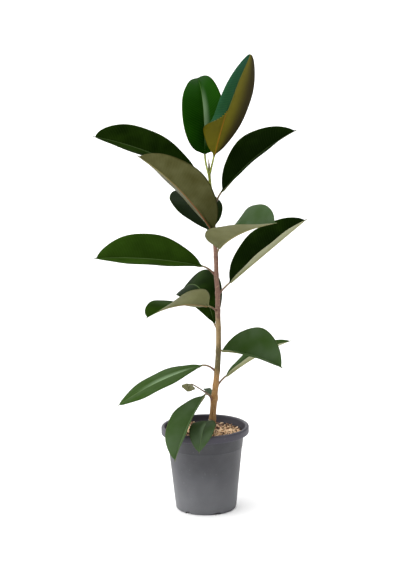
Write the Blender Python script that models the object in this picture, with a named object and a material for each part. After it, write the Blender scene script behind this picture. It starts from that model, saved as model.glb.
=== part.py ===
"""Potted rubber plant: a nursery pot, its potting soil and a single-stemmed plant.

Units are metres, +Z is up. The origin is the middle of the pot's underside, +X is to the right
and -Y is the front. Every leaf is one solid, its stalk and its blade together.
"""

import math
from dataclasses import dataclass

import bmesh
import bpy
from mathutils import Matrix, Vector, noise

# Pot
POT_HEIGHT = 0.1835
RIM_RADIUS = 0.095
RIM_DEPTH = 0.0165
RIM_FOOT_BEVEL = 0.0035
THROAT_DROP = 0.004
RIM_MOUTH_RADIUS = 0.0865
COLLAR_TOP_RADIUS = 0.0840
COLLAR_FOOT_RADIUS = 0.0808
COLLAR_FOOT_HEIGHT = 0.138
COLLAR_STEP = 0.0008
BASE_RADIUS = 0.0655
BASE_CORNER = 0.004
WALL = 0.0022
FLOOR = 0.0030
DRAIN_COUNT = 6
DRAIN_FIRST_ANGLE = -128.0
DRAIN_WIDTH = 0.014
DRAIN_HEIGHT = 0.0075
POT_SEGMENTS = 60

# Soil
SOIL_LEVEL = 0.1705
SOIL_HEAP = 0.0025
SOIL_LUMP = 0.0022
SOIL_EDGE_DROP = 0.004
SOIL_RINGS = 7
HOLE_DEPTH = 0.06
GAP = 0.0004
STEM_FOOT_HEIGHT = 0.140
STEM_FOOT_X = 0.0137

# Leaves
LEAF_THICKNESS = 0.0011
MARGIN_THICKNESS = 0.0006
STALK_RADIUS = 0.0021
STALK_FOOT_RADIUS = 0.0027
MIDRIB_TIP_RADIUS = 0.0007
DRIP_TIP = 0.06
DRIP_REACH = 0.12
DRIP_HALF_WIDTH = 0.055
ROLL_ACROSS = (0.25, 0.75)
ROLL_ALONG = (0.16, 0.48)
STALK_TAPER = 0.3
STALK_END = 0.96
BLADE_END = 0.995
LEAF_COLOUR = (0.03, 0.10, 0.02)
YOUNG_LEAF_COLOUR = (0.04, 0.20, 0.01)
BLADE_STATIONS = 15
STALK_STATIONS = 5
HALF_COLUMNS = 3


@dataclass
class Leaf:
    """One leaf: where its stalk joins the stem, where its blade starts and ends, and its attitude.

    arch is the midrib's bow above the straight line from base to tip, as a part of its length.
    roll turns the blade about its midrib (positive lifts its left half), twist is the roll that
    is added by the tip, fold is how far each half is lifted, and cup bends each half further.
    sway is the midrib's bow to its left, like arch. belly is how far along the blade is broadest,
    and the lower blunt is, the fuller are the blade's two ends.
    """

    node: str
    joint: float
    base: tuple
    tip: tuple
    width: float
    arch: float
    roll: float
    fold: float
    cup: float = -12.0
    twist: float = 0.0
    rolled_edge: float = 0.0
    sway: float = 0.0
    belly: float = 0.5
    blunt: float = 0.62
    drip: float = DRIP_TIP
    young: bool = False


# The stem's middle line (x, y, z) and radius, from its buried foot to its tip.
STEM_ROUTE = (
    (STEM_FOOT_X, 0.000, STEM_FOOT_HEIGHT, 0.0078),
    (0.0140, 0.000, 0.165, 0.0077),
    (0.0155, 0.000, 0.187, 0.0075),
    (0.0195, 0.000, 0.233, 0.0071),
    (0.0255, 0.000, 0.284, 0.0063),
    (0.0305, 0.000, 0.339, 0.0059),
    (0.0317, 0.000, 0.385, 0.0056),
    (0.0310, 0.000, 0.430, 0.0055),
    (0.0312, 0.000, 0.473, 0.0053),
    (0.0290, 0.000, 0.511, 0.0049),
    (0.0283, 0.000, 0.553, 0.0047),
    (0.0250, 0.000, 0.611, 0.0043),
    (0.0215, 0.000, 0.665, 0.0039),
    (0.0192, 0.000, 0.697, 0.0034),
    (0.0163, 0.000, 0.734, 0.0028),
)
STEM_STATIONS = 44
STEM_SIDES = 12
NODE_SWELLING = 0.10
NODE_SPREAD = 0.006
LOWEST_NODE = 0.21

BUD_LENGTH = 0.034
BUD_RADIUS = 0.0019

LEAVES = (
    Leaf("leaf_top_green", 0.7315, (0.008, 0.018, 0.776), (-0.006, 0.131, 0.924), 0.106, 0.25, -2, 40,
         cup=-16, twist=-22, belly=0.33, blunt=0.68, young=True),
    Leaf("leaf_top_tall", 0.7315, (0.028, -0.014, 0.775), (0.104, -0.054, 0.987), 0.107, 0.03, -46, 18,
         cup=-10, twist=12, rolled_edge=175, belly=0.52, drip=0.0, young=True),
    Leaf("leaf_upper_left", 0.700, (-0.010, 0.012, 0.728), (-0.227, -0.030, 0.819), 0.102, 0.04, -35, 32,
         belly=0.56, blunt=0.52),
    Leaf("leaf_front_left", 0.585, (0.021, -0.022, 0.616), (-0.133, -0.090, 0.786), 0.122, 0.05, 27, 37),
    Leaf("leaf_upper_right", 0.637, (0.045, 0.000, 0.697), (0.206, 0.070, 0.815), 0.108, 0.05, 17, 40,
         belly=0.53, blunt=0.70),
    Leaf("leaf_back_upper", 0.600, (0.014, 0.030, 0.608), (-0.045, 0.190, 0.672), 0.114, 0.04, 0, 17),
    Leaf("leaf_front_right", 0.552, (0.036, -0.020, 0.577), (0.152, -0.175, 0.655), 0.122, 0.035, 2, 40,
         cup=-6, twist=33, sway=-0.07, belly=0.50, blunt=0.38),
    Leaf("leaf_mid_right", 0.474, (0.059, 0.000, 0.499), (0.225, 0.035, 0.628), 0.122, 0.00, 9, 41),
    Leaf("leaf_mid_left", 0.514, (-0.004, 0.000, 0.535), (-0.233, 0.000, 0.554), 0.118, 0.03, -30, 34,
         belly=0.53),
    Leaf("leaf_back_middle", 0.398, (0.023, 0.030, 0.404), (-0.048, 0.205, 0.440), 0.100, 0.23, -10, 14,
         twist=-34, belly=0.55),
    Leaf("leaf_twisted_left", 0.436, (0.008, -0.020, 0.452), (-0.121, -0.100, 0.444), 0.104, 0.09, 44,
         28, twist=-52, belly=0.44, blunt=0.46),
    Leaf("leaf_arched_right", 0.349, (0.039, -0.005, 0.350), (0.166, -0.080, 0.328), 0.130, 0.05, 19, 42,
         belly=0.47, blunt=0.78),
    Leaf("leaf_low_right", 0.272, (0.048, 0.005, 0.292), (0.192, 0.080, 0.351), 0.085, 0.04, -26, 22,
         twist=24),
    Leaf("leaf_long_left", 0.304, (-0.008, 0.000, 0.316), (-0.190, 0.000, 0.229), 0.104, 0.04, -9, 7,
         belly=0.54, blunt=0.58),
    Leaf("leaf_small_left", 0.246, (-0.030, -0.005, 0.277), (-0.038, 0.035, 0.250), 0.030, 0.08, 22, -5),
    Leaf("leaf_small_back", 0.242, (0.014, 0.018, 0.241), (0.000, 0.045, 0.254), 0.022, 0.05, 0, 35),
    Leaf("leaf_drooping_left", 0.238, (-0.002, -0.030, 0.256), (-0.066, -0.125, 0.139), 0.092, 0.06, 20,
         36),
    Leaf("leaf_drooping_front", 0.196, (0.006, -0.035, 0.202), (-0.014, -0.135, 0.160), 0.058, 0.13, 4,
         22, blunt=0.66),
)


def clear_scene():
    for thing in list(bpy.data.objects):
        bpy.data.objects.remove(thing, do_unlink=True)


def finish_object(node, bm, colour, roughness):
    """Turn a bmesh into a smooth-shaded object with its own Principled material."""
    bmesh.ops.recalc_face_normals(bm, faces=bm.faces)
    if bm.calc_volume(signed=True) < 0:
        bmesh.ops.reverse_faces(bm, faces=bm.faces)
    mesh = bpy.data.meshes.new(node)
    bm.to_mesh(mesh)
    bm.free()
    mesh.shade_smooth()
    mesh.set_sharp_from_angle(angle=math.radians(40))
    thing = bpy.data.objects.new(node, mesh)
    bpy.context.collection.objects.link(thing)
    material = bpy.data.materials.new(node)
    material.use_nodes = True
    shader = material.node_tree.nodes["Principled BSDF"]
    shader.inputs["Base Color"].default_value = (*colour, 1.0)
    shader.inputs["Roughness"].default_value = roughness
    mesh.materials.append(material)
    return thing


def spin_profile(profile, segments):
    """Spin a closed (radius, height) outline round the Z axis into one solid ring or cup."""
    bm = bmesh.new()
    corners = [bm.verts.new((radius, 0.0, height)) for radius, height in profile]
    edges = [bm.edges.new((a, b)) for a, b in zip(corners, corners[1:])]
    bmesh.ops.spin(
        bm,
        geom=corners + edges,
        axis=(0.0, 0.0, 1.0),
        cent=(0.0, 0.0, 0.0),
        dvec=(0.0, 0.0, 0.0),
        angle=math.tau,
        steps=segments,
        use_merge=True,
    )
    bmesh.ops.remove_doubles(bm, verts=bm.verts, dist=0.00002)
    return bm


def skin(rings):
    """Close a row of rings, each with the same number of points, into one solid."""
    bm = bmesh.new()
    rows = [[bm.verts.new(point) for point in ring] for ring in rings]
    count = len(rows[0])
    for lower, upper in zip(rows, rows[1:]):
        for k in range(count):
            following = (k + 1) % count
            bm.faces.new((lower[k], lower[following], upper[following], upper[k]))
    bm.faces.new(rows[0][::-1])
    bm.faces.new(rows[-1])
    bmesh.ops.triangulate(bm, faces=bm.faces)
    return bm


def cut(thing, cutter):
    """Take the cutter's volume out of the thing with an exact Boolean."""
    cutter.hide_render = True
    cutter.display_type = "WIRE"
    modifier = thing.modifiers.new("cut", "BOOLEAN")
    modifier.operation = "DIFFERENCE"
    modifier.solver = "EXACT"
    modifier.object = cutter


def wall_radius(height):
    """The pot's outer radius between its base and its collar."""
    top = COLLAR_FOOT_RADIUS - COLLAR_STEP
    return BASE_RADIUS + (top - BASE_RADIUS) * height / COLLAR_FOOT_HEIGHT


def make_pot():
    rim_foot = POT_HEIGHT - RIM_DEPTH
    roll = (RIM_RADIUS - RIM_MOUTH_RADIUS) / 2
    crest = [
        (
            RIM_RADIUS - roll + roll * math.cos(math.radians(angle)),
            POT_HEIGHT - roll + roll * math.sin(math.radians(angle)),
        )
        for angle in (0, 30, 60, 90, 120, 150)
    ]
    outside = [
        (0.0, 0.0),
        (BASE_RADIUS - BASE_CORNER, 0.0),
        (BASE_RADIUS - 0.3 * BASE_CORNER, 0.3 * BASE_CORNER),
        (wall_radius(BASE_CORNER), BASE_CORNER),
        (wall_radius(COLLAR_FOOT_HEIGHT), COLLAR_FOOT_HEIGHT),
        (COLLAR_FOOT_RADIUS, COLLAR_FOOT_HEIGHT + COLLAR_STEP),
        (COLLAR_TOP_RADIUS, rim_foot),
        (RIM_RADIUS - RIM_FOOT_BEVEL, rim_foot),
        (RIM_RADIUS, rim_foot + RIM_FOOT_BEVEL),
    ]
    inside = [
        (RIM_MOUTH_RADIUS - 0.0015, rim_foot + 0.002),
        (COLLAR_TOP_RADIUS - WALL, rim_foot - THROAT_DROP),
        (COLLAR_FOOT_RADIUS - COLLAR_STEP - WALL, COLLAR_FOOT_HEIGHT),
        (wall_radius(FLOOR) - WALL, FLOOR),
        (0.0, FLOOR),
    ]
    pot = finish_object(
        "nursery_pot", spin_profile(outside + crest + inside, POT_SEGMENTS), (0.055, 0.055, 0.06), 0.55
    )
    bm = bmesh.new()
    for k in range(DRAIN_COUNT):
        angle = math.radians(DRAIN_FIRST_ANGLE + k * 360.0 / DRAIN_COUNT)
        place = Matrix.Rotation(angle, 4, "Z") @ Matrix.Translation((BASE_RADIUS - 0.002, 0.0, 0.0))
        size = Matrix.Diagonal((0.016, DRAIN_WIDTH, 2 * DRAIN_HEIGHT, 1.0))
        bmesh.ops.create_cube(bm, size=1.0, matrix=place @ size)
    cut(pot, finish_object("drain_cutter", bm, (1.0, 1.0, 1.0), 0.5))
    return pot


def inner_radius(height):
    """The pot's inner radius below its rim."""
    foot = wall_radius(FLOOR) - WALL
    waist = COLLAR_FOOT_RADIUS - COLLAR_STEP - WALL
    if height < COLLAR_FOOT_HEIGHT:
        return foot + (waist - foot) * (height - FLOOR) / (COLLAR_FOOT_HEIGHT - FLOOR)
    top_height = POT_HEIGHT - RIM_DEPTH - THROAT_DROP
    share = (height - COLLAR_FOOT_HEIGHT) / (top_height - COLLAR_FOOT_HEIGHT)
    return waist + (COLLAR_TOP_RADIUS - WALL - waist) * share


def make_soil():
    """The root ball: the pot's inner shape with a lumpy top, open where the stem stands in it."""
    foot = FLOOR + GAP
    edge = SOIL_LEVEL - SOIL_EDGE_DROP
    outline = [(0.0, foot), (inner_radius(foot) - GAP, foot)]
    for height in (COLLAR_FOOT_HEIGHT, edge - SOIL_EDGE_DROP):
        outline.append((inner_radius(height) - 2 * GAP, height))
    brim = inner_radius(edge) - 3 * GAP
    for k in range(SOIL_RINGS + 1):
        radius = brim * (1 - k / SOIL_RINGS)
        outline.append((radius, edge + (SOIL_LEVEL + SOIL_HEAP - edge) * math.sqrt(k / SOIL_RINGS)))
    bm = spin_profile(outline, 36)
    for vert in bm.verts:
        if vert.co.z > edge + 0.0005:
            vert.co.z += SOIL_LUMP * noise.noise(vert.co * 55.0)
    bmesh.ops.triangulate(bm, faces=bm.faces)
    soil = finish_object("potting_soil", bm, (0.07, 0.04, 0.025), 0.95)
    bm = bmesh.new()
    middle = STEM_FOOT_HEIGHT - GAP + HOLE_DEPTH / 2
    bmesh.ops.create_cone(
        bm,
        cap_ends=True,
        segments=24,
        radius1=STEM_ROUTE[0][3] + 3 * GAP,
        radius2=STEM_ROUTE[0][3] + 3 * GAP,
        depth=HOLE_DEPTH,
        matrix=Matrix.Translation((STEM_FOOT_X + GAP, 0.0, middle)),
    )
    cut(soil, finish_object("stem_hole_cutter", bm, (1.0, 1.0, 1.0), 0.5))
    return soil


def stem_at(height):
    """The stem's middle (a point) and radius at a height, on a smooth curve through its route."""
    last = len(STEM_ROUTE) - 2
    k = 0
    while k < last and STEM_ROUTE[k + 1][2] <= height:
        k += 1
    before = STEM_ROUTE[max(k - 1, 0)]
    low = STEM_ROUTE[k]
    high = STEM_ROUTE[k + 1]
    after = STEM_ROUTE[min(k + 2, last + 1)]
    span = high[2] - low[2]
    t = (height - low[2]) / span
    values = []
    for axis in (0, 1, 3):
        slope_low = (high[axis] - before[axis]) / max(high[2] - before[2], 0.001) * span
        slope_high = (after[axis] - low[axis]) / max(after[2] - low[2], 0.001) * span
        values.append(
            (2 * t**3 - 3 * t**2 + 1) * low[axis]
            + (t**3 - 2 * t**2 + t) * slope_low
            + (3 * t**2 - 2 * t**3) * high[axis]
            + (t**3 - t**2) * slope_high
        )
    return Vector((values[0], values[1], height)), values[2]


def make_stem():
    rings = []
    top = STEM_ROUTE[-1][2]
    for k in range(STEM_STATIONS + 1):
        height = STEM_FOOT_HEIGHT + (top - STEM_FOOT_HEIGHT) * k / STEM_STATIONS
        middle, radius = stem_at(height)
        for leaf in LEAVES:
            offset = (height - leaf.joint) / NODE_SPREAD
            radius *= 1 + NODE_SWELLING * math.exp(-offset * offset) * (height > LOWEST_NODE)
        rings.append(ring_points(middle, Vector((1, 0, 0)), Vector((0, 1, 0)), radius, STEM_SIDES))
    return finish_object("stem", skin(rings), (0.22, 0.13, 0.06), 0.7)


def ring_points(middle, side, up, radius, count):
    points = []
    for k in range(count):
        angle = math.tau * k / count
        points.append(middle + side * (radius * math.cos(angle)) + up * (radius * math.sin(angle)))
    return points


def make_bud():
    """The pointed sheath that wraps the next leaf, standing on the stem's tip."""
    foot, _ = stem_at(STEM_ROUTE[-1][2])
    foot = foot + Vector((0, 0, GAP))
    lean = Vector((-0.05, 0.0, 1.0)).normalized()
    rings = []
    for share in (0.0, 0.15, 0.4, 0.65, 0.85, 0.97):
        radius = BUD_RADIUS * math.sqrt(1 - share) * (1 + 0.35 * math.sin(math.pi * share))
        middle = foot + lean * (BUD_LENGTH * share)
        rings.append(ring_points(middle, Vector((1, 0, 0)), Vector((0, 1, 0)), radius, 10))
    return finish_object("bud_sheath", skin(rings), (0.10, 0.14, 0.02), 0.5)


def leaf_frame(leaf):
    """Base, bow point and tip of the midrib's curve, and the level direction to the leaf's left."""
    base = Vector(leaf.base)
    tip = Vector(leaf.tip)
    chord = tip - base
    left = Vector((-chord.y, chord.x, 0.0)).normalized()
    up = chord.normalized().cross(left)
    bow = (base + tip) / 2 + (up * leaf.arch + left * leaf.sway) * (2 * chord.length)
    return base, bow, tip, left


def curve_point(start, middle, end, t):
    return start * (1 - t) ** 2 + middle * (2 * t * (1 - t)) + end * t**2


def curve_direction(start, middle, end, t):
    return ((middle - start) * (1 - t) + (end - middle) * t).normalized()


def half_width(leaf, t):
    """Half of the blade's width at t along it: a round base, a broad middle and a drip tip."""
    body_end = 1 - leaf.drip / 2
    lean = math.log(0.5) / math.log(leaf.belly)
    body = max(math.sin(math.pi * min(t / body_end, 1.0) ** lean), 0.0) ** leaf.blunt
    if not leaf.drip or t < 0.5:
        return leaf.width / 2 * body
    point = DRIP_HALF_WIDTH * min((1 - t) / DRIP_REACH, 1.0) ** 0.6
    return leaf.width / 2 * max(body, point)


def smooth_step(low, high, x):
    t = min(max((x - low) / (high - low), 0.0), 1.0)
    return t * t * (3 - 2 * t)


def half_section(leaf, t, left_half):
    """Points from the midrib to the margin of one half, as (sideways, upward, slope) values.

    The slope at a point is halfway between its two neighbours', so that a sharp bend stays open.
    """
    slopes = []
    for k in range(HALF_COLUMNS):
        share = (k + 0.5) / HALF_COLUMNS
        slope = leaf.fold + leaf.cup * share
        if leaf.rolled_edge and not left_half:
            slope -= leaf.rolled_edge * smooth_step(*ROLL_ACROSS, share) * smooth_step(*ROLL_ALONG, t)
        slopes.append(math.radians(slope))
    sideways = 0.0
    upward = 0.0
    step = half_width(leaf, t) / HALF_COLUMNS
    points = [(0.0, 0.0, 0.0)]
    for k, slope in enumerate(slopes):
        sideways += step * math.cos(slope)
        upward += step * math.sin(slope)
        after = slopes[min(k + 1, HALF_COLUMNS - 1)]
        points.append((sideways, upward, (slope + after) / 2))
    return points


def blade_ring(leaf, frame, t):
    """The blade's section at t: its upper side from left to right, then its underside back."""
    base, bow, tip, level = frame
    middle = curve_point(base, bow, tip, t)
    ahead = curve_direction(base, bow, tip, t)
    left = (level - ahead * level.dot(ahead)).normalized()
    up = ahead.cross(left)
    turn = Matrix.Rotation(math.radians(leaf.roll + leaf.twist * t), 3, ahead)
    left = turn @ left
    up = turn @ up
    upper = []
    lower = []
    rib = STALK_RADIUS + (MIDRIB_TIP_RADIUS - STALK_RADIUS) * t**0.7
    for left_half in (True, False):
        sign = 1.0 if left_half else -1.0
        section = half_section(leaf, t, left_half)
        if not left_half:
            section = section[1:]
        rows = []
        for k, (sideways, upward, slope) in enumerate(section):
            share = (k + (0 if left_half else 1)) / HALF_COLUMNS
            thickness = LEAF_THICKNESS + (MARGIN_THICKNESS - LEAF_THICKNESS) * share
            point = middle + left * (sign * sideways) + up * upward
            out = up * math.cos(slope) - left * (sign * math.sin(slope))
            below = thickness / 2 + (2.0 * rib if share == 0 else 0.0)
            rows.append((point + out * (thickness / 2), point - out * below, share))
        if left_half:
            rows.reverse()
        upper += [row[0] for row in rows]
        lower += [row[1] for row in rows]
    margin_left = (upper[0] + lower[0]) / 2
    margin_right = (upper[-1] + lower[-1]) / 2
    return [margin_left] + upper[1:-1] + [margin_right] + lower[-2:0:-1]


def stalk_ring(middle, ahead, level, radius, count):
    """A round section whose points match the blade's, starting at its left margin."""
    left = (level - ahead * level.dot(ahead)).normalized()
    return ring_points(middle, left, ahead.cross(left), radius, count)


def make_leaf(leaf):
    frame = leaf_frame(leaf)
    base, bow, tip, level = frame
    count = 4 * HALF_COLUMNS
    stem_middle, stem_radius = stem_at(leaf.joint)
    outward = Vector((base.x - stem_middle.x, base.y - stem_middle.y, 0.0)).normalized()
    foot = stem_middle + outward * (stem_radius * (1 + NODE_SWELLING) + 2 * GAP)
    start = curve_direction(base, bow, tip, 0.0)
    knee = base - start * (0.5 * (base - foot).length)
    rings = []
    for k in range(STALK_STATIONS + 1):
        t = k / STALK_STATIONS * STALK_END
        ahead = outward if k == 0 else curve_direction(foot, knee, base, t)
        middle = curve_point(foot, knee, base, t)
        radius = STALK_FOOT_RADIUS + (STALK_RADIUS - STALK_FOOT_RADIUS) * min(t / STALK_TAPER, 1.0)
        rings.append(stalk_ring(middle, ahead, level, radius, count))
    for k in range(1, BLADE_STATIONS + 1):
        share = k / BLADE_STATIONS
        t = 0.5 * share + 0.5 * (1 - math.cos(math.pi * share)) / 2
        rings.append(blade_ring(leaf, frame, min(t, BLADE_END)))
    colour = YOUNG_LEAF_COLOUR if leaf.young else LEAF_COLOUR
    return finish_object(leaf.node, skin(rings), colour, 0.35)


def main():
    clear_scene()
    make_pot()
    make_soil()
    make_stem()
    make_bud()
    for leaf in LEAVES:
        make_leaf(leaf)


main()
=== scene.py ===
"""Young rubber plant in a nursery pot: the visible pieces, built round the plant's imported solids.

Units are metres, +Z is up, -Y is the front and the origin is the middle of the pot's underside.
Each operator in the sidebar's Plant tab makes one piece or one group of like pieces.
"""

import random
from dataclasses import dataclass
from math import atan2, cos, exp, hypot, log, pi, radians, sin, sqrt, tau

import bpy
from bpy.props import FloatProperty, FloatVectorProperty, IntProperty, PointerProperty
from mathutils import Euler, Matrix, Vector, noise


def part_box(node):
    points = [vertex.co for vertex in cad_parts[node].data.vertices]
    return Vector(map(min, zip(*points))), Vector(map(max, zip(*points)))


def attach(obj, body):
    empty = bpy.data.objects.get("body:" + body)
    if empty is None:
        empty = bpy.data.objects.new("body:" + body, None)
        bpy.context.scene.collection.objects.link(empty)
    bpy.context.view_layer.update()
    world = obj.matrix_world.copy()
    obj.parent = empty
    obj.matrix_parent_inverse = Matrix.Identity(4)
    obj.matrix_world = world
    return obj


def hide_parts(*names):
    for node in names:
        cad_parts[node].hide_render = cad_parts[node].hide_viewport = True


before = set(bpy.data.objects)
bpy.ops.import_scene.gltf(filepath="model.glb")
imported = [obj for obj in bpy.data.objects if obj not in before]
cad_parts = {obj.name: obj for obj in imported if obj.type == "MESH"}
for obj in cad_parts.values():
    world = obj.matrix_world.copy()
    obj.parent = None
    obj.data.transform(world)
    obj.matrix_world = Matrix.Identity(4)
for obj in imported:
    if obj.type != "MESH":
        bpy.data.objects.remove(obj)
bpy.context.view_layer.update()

bl_info = {
    "name": "Potted Rubber Plant",
    "version": (1, 0, 0),
    "blender": (4, 5, 0),
    "location": "3D View > Sidebar > Plant",
    "description": "Builds a young rubber plant in a nursery pot",
    "category": "Add Mesh",
}

POT_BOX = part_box("nursery_pot")
SOIL_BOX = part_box("potting_soil")
BUD_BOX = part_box("bud_sheath")

# Pot: its outline from the base up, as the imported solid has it.
COLLAR_TOP_RADIUS = 0.084
COLLAR_FOOT_RADIUS = 0.0808
COLLAR_FOOT_HEIGHT = 0.138
COLLAR_STEP = 0.0008
BASE_RADIUS = 0.0655
BASE_ROUNDING = 0.0042
RIM_DEPTH = 0.0165
RIM_MOUTH_RADIUS = 0.0865
RIM_LIP_ROUNDING = 0.0022
FLOOR_THICKNESS = 0.003
# A disc can be scaled down to this radius, but not to nothing.
AXIS_RADIUS = 0.0005
DRAIN_COUNT = 6
DRAIN_FIRST_ANGLE = -128.0
DRAIN_SLOT = (0.016, 0.014, 0.009)
DRAIN_BEVEL = 0.0025
DRAIN_INSET = 0.002
THROAT_DROP = 0.004
COLLAR_ROUNDING = 0.0012
POT_SEGMENTS = 144

# Soil
SOIL_EDGE_DROP = 0.004
SOIL_HEAP = 0.0025
SOIL_LUMP = 0.0022
SOIL_RINGS = 34
SOIL_SEGMENTS = 110
SOIL_WALL_GAP = 0.0008
SOIL_FLOOR_GAP = 0.0004
LUMPS_PER_METRE = 55.0
GRIT_PER_METRE = 170.0
CHIP_SHAPES = 5
CHIP_TILT = 0.35
RIM_CLEARANCE = 0.004
STEM_CLEARANCE = 0.0015
STEM_FOOT_X = 0.0137

# Stem: its middle line (x and z, at y = 0) and radius, from its buried foot to its tip.
STEM_ROUTE = (
    (STEM_FOOT_X, 0.14, 0.0078),
    (0.014, 0.165, 0.0077),
    (0.0155, 0.187, 0.0075),
    (0.0195, 0.233, 0.0071),
    (0.0255, 0.284, 0.0063),
    (0.0305, 0.339, 0.0059),
    (0.0317, 0.385, 0.0056),
    (0.031, 0.43, 0.0055),
    (0.0312, 0.473, 0.0053),
    (0.029, 0.511, 0.0049),
    (0.0283, 0.553, 0.0047),
    (0.025, 0.611, 0.0043),
    (0.0215, 0.665, 0.0039),
    (0.0192, 0.697, 0.0034),
    (0.0163, 0.734, 0.0028),
)
STEM_SIDES = 28
STEM_STATIONS = 330
NODE_SWELLING = 0.1
NODE_SPREAD = 0.006
SCAR_HEIGHT = 0.0022
SCAR_RIDGE = 0.00028
SCAR_TILT = 0.0012
SCAR_WIDTH = 0.0009
FLUTE_DEPTH = 0.00022

# Bud sheath
BUD_SIDES = 20
BUD_STATIONS = 30
BUD_RADIUS = 0.0021

# Leaves
LEAF_THICKNESS = 0.0009
MARGIN_THICKNESS = 0.0005
STALK_RADIUS = 0.0021
STALK_FOOT_RADIUS = 0.0027
MIDRIB_TIP_RADIUS = 0.0006
GROOVE_DEPTH = 0.0004
GROOVE_WIDTH = 0.0016
DRIP_TIP = 0.06
BLADE_STATIONS = 60
STALK_STATIONS = 14
HALF_COLUMNS = 14
# Columns stand closer together near the midrib than near the margin by this power.
COLUMN_POWER = 1.25
RIPPLE_COUNT = 2.6
RIPPLE_DEPTH = 0.0009
RIPPLE_LAG = 2.1
VEIN_COUNT = 40.0
DRIP_REACH = 0.12
DRIP_HALF_WIDTH = 0.055
BLADE_END = 0.995
STALK_TAPER = 0.3
STALK_END = 0.98
# A leaf at least half this wide has a stalk of the full radius.
FULL_STALK_WIDTH = 0.14
# The midrib under the blade, in stalk radii: how deep it stands out and how far it reaches.
RIB_DEPTH = 1.7
RIB_REACH = 1.35
ROLL_ACROSS = (0.25, 0.75)
ROLL_ALONG = (0.16, 0.48)


@dataclass
class Leaf:
    """One leaf: where its stalk joins the stem, where its blade starts and ends, and its attitude.

    arch is the midrib's bow above the straight line from base to tip, as a part of its length.
    roll turns the blade about its midrib (positive lifts its left half), twist is the roll that
    is added by the tip, fold is how far each half is lifted, and cup bends each half further.
    sway is the midrib's bow to its left, like arch. belly is how far along the blade is broadest,
    and the lower blunt is, the fuller are the blade's two ends. tone and pale are painted light and
    shade: how light the upper side and the underside are painted for the light each leaf gets. blush
    is how red the midrib is below. All three are from 0 to 1.
    sheen is the strength of the painted highlight beside the midrib, less than 0 on its left.
    """

    node: str
    joint: float
    base: tuple
    tip: tuple
    width: float
    arch: float
    roll: float
    fold: float
    cup: float = -12.0
    twist: float = 0.0
    rolled_edge: float = 0.0
    sway: float = 0.0
    belly: float = 0.5
    blunt: float = 0.62
    drip: float = DRIP_TIP
    tone: float = 0.5
    pale: float = 0.5
    blush: float = 0.1
    sheen: float = 0.0
    young: bool = False


LEAVES = (
    Leaf("leaf_top_green", 0.7315, (0.008, 0.018, 0.776), (-0.006, 0.131, 0.924), 0.106, 0.25, -2, 40,
         cup=-16, twist=-22, belly=0.33, blunt=0.68, tone=0.22, sheen=0.45, young=True),
    Leaf("leaf_top_tall", 0.7315, (0.028, -0.014, 0.775), (0.104, -0.054, 0.987), 0.107, 0.03, -46, 18,
         cup=-10, twist=12, rolled_edge=175, belly=0.52, drip=0.0, tone=0.6, pale=0.8, blush=0.9,
         young=True),
    Leaf("leaf_upper_left", 0.7, (-0.01, 0.012, 0.728), (-0.227, -0.03, 0.819), 0.102, 0.04, -35, 32,
         belly=0.56, blunt=0.52, tone=0.12),
    Leaf("leaf_front_left", 0.585, (0.021, -0.022, 0.616), (-0.133, -0.09, 0.786), 0.122, 0.05, 27, 37,
         tone=0.2, pale=0.12, blush=1),
    Leaf("leaf_upper_right", 0.637, (0.045, 0.0, 0.697), (0.206, 0.07, 0.815), 0.108, 0.05, 17, 40,
         belly=0.53, blunt=0.7, tone=0.04),
    Leaf("leaf_back_upper", 0.6, (0.014, 0.03, 0.608), (-0.045, 0.19, 0.672), 0.114, 0.04, 0, 17,
         tone=0.02),
    Leaf("leaf_front_right", 0.552, (0.036, -0.02, 0.577), (0.152, -0.175, 0.655), 0.122, 0.035, 2, 40,
         cup=-6, twist=33, sway=-0.07, belly=0.5, blunt=0.38, tone=0.55, pale=0.4),
    Leaf("leaf_mid_right", 0.474, (0.059, 0.0, 0.499), (0.225, 0.035, 0.628), 0.122, 0.0, 9, 41,
         tone=0.04, pale=0.75),
    Leaf("leaf_mid_left", 0.514, (-0.004, 0.0, 0.535), (-0.233, 0.0, 0.554), 0.118, 0.03, -30, 34,
         belly=0.53, tone=0.27),
    Leaf("leaf_back_middle", 0.398, (0.023, 0.03, 0.404), (-0.048, 0.205, 0.44), 0.1, 0.23, -10, 14,
         twist=-34, belly=0.55, tone=0.1),
    Leaf("leaf_twisted_left", 0.436, (0.008, -0.02, 0.452), (-0.121, -0.1, 0.444), 0.104, 0.09, 44,
         28, twist=-52, belly=0.44, blunt=0.46, tone=0.28, pale=0.46, blush=0.7),
    Leaf("leaf_arched_right", 0.349, (0.039, -0.005, 0.35), (0.166, -0.08, 0.328), 0.13, 0.05, 19, 42,
         belly=0.47, blunt=0.78, sheen=0.2),
    Leaf("leaf_low_right", 0.272, (0.048, 0.005, 0.292), (0.192, 0.08, 0.351), 0.085, 0.04, -26, 22,
         twist=24, tone=0.42, pale=0.9),
    Leaf("leaf_long_left", 0.304, (-0.008, 0.0, 0.316), (-0.19, 0.0, 0.229), 0.104, 0.04, -9, 7,
         belly=0.54, blunt=0.58, tone=0.42, pale=0.6, sheen=0.5),
    Leaf("leaf_small_left", 0.246, (-0.03, -0.005, 0.277), (-0.038, 0.035, 0.25), 0.03, 0.08, 22, -5,
         pale=0.8),
    Leaf("leaf_small_back", 0.242, (0.014, 0.018, 0.241), (0.0, 0.045, 0.254), 0.022, 0.05, 0, 35,
         tone=0.9, pale=0.7),
    Leaf("leaf_drooping_left", 0.238, (-0.002, -0.03, 0.256), (-0.066, -0.125, 0.139), 0.092, 0.06, 20,
         36, tone=0.53, pale=0.6),
    Leaf("leaf_drooping_front", 0.196, (0.006, -0.035, 0.202), (-0.014, -0.135, 0.16), 0.058, 0.13, 4,
         22, blunt=0.66, tone=0.55, pale=0.6, sheen=0.35),
)

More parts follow.
